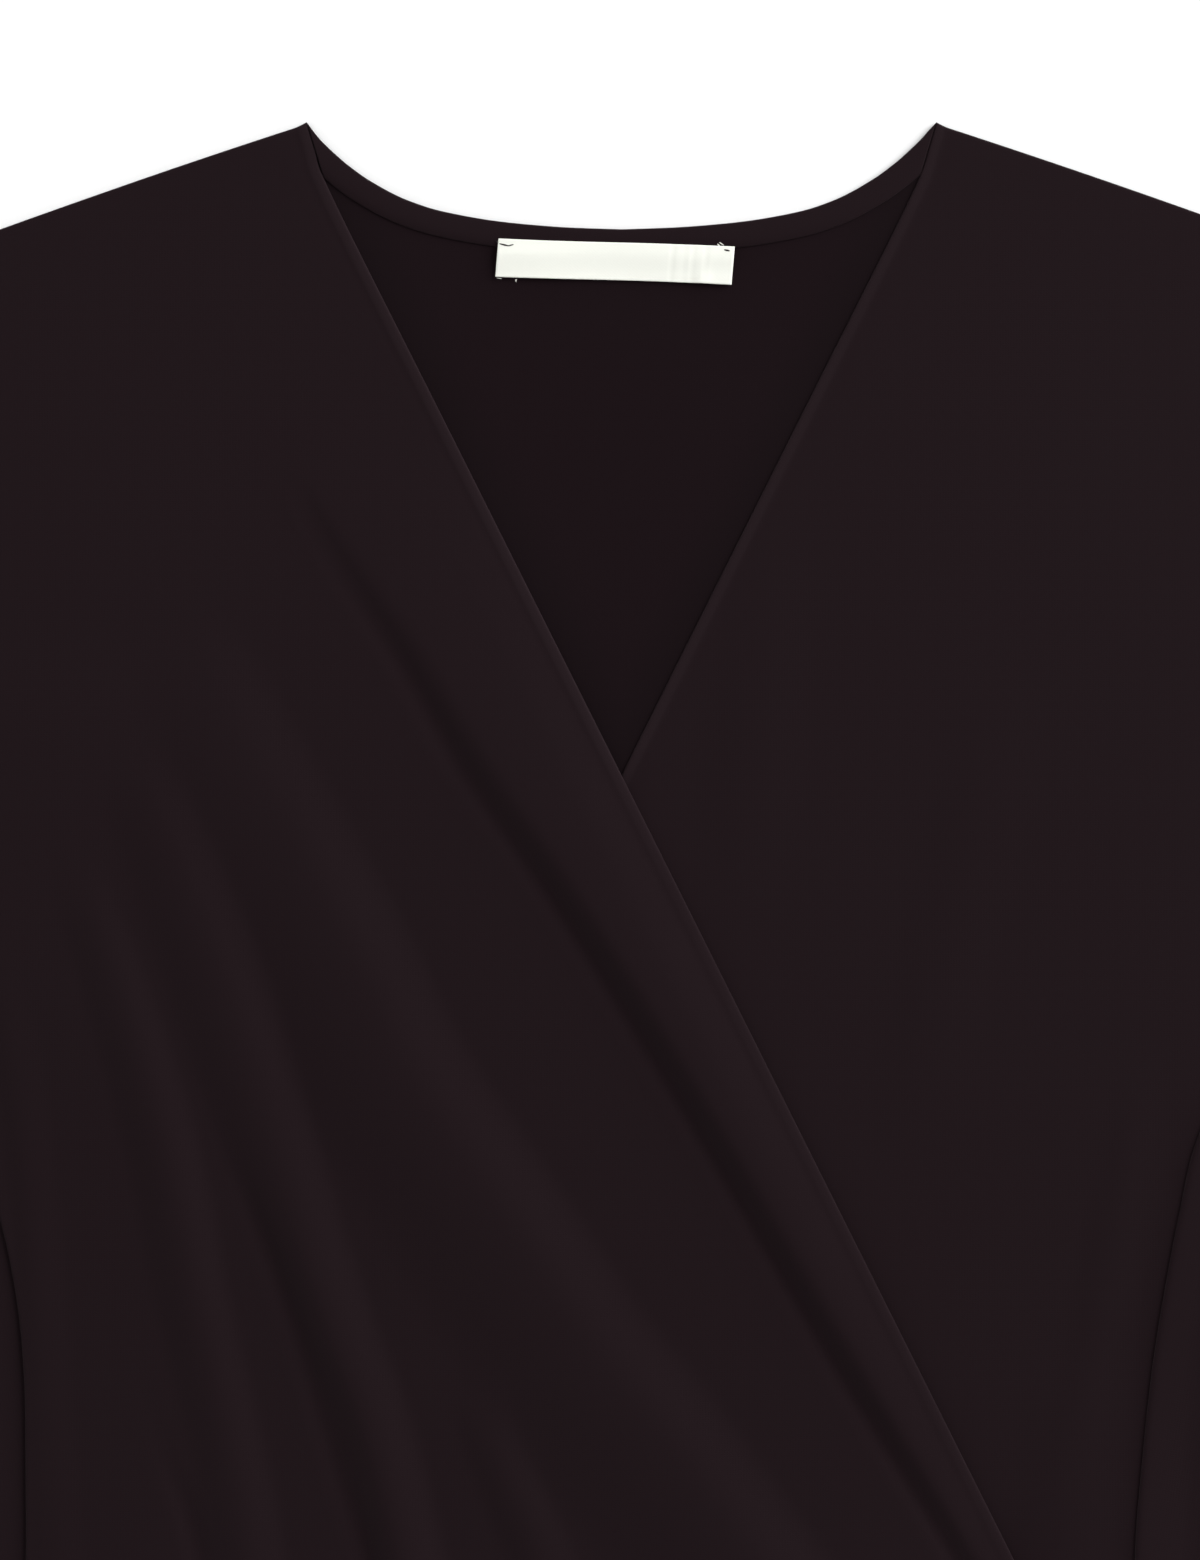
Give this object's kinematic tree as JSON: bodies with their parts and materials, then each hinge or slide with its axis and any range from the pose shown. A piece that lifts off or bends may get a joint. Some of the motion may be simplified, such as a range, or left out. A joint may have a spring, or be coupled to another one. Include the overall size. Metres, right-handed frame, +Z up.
{
  "type": "wrap top",
  "caption": "Long-sleeved jersey wrap top with a V neck and crossed fronts, laid out flat on its back with its sleeves down at its sides.",
  "frame": {"origin": "middle of the garment's outline, on the surface that it lies on", "axes": "+Z up from the surface, +Y from hem to neck, +X to the wearer's left"},
  "size_m": [0.6386, 0.64, 0.0084],
  "materials": {
    "jersey": "smooth matt black knit jersey with a faint plum cast",
    "label_satin": "off-white satin ribbon, bare"
  },
  "bodies": {
    "root": {"back_panel": "jersey", "right_front_over": "jersey", "left_front_under": "jersey", "left_sleeve": "jersey", "right_sleeve": "jersey", "back_neck_band": "jersey", "neck_label": "label_satin"}
  },
  "joints": []
}
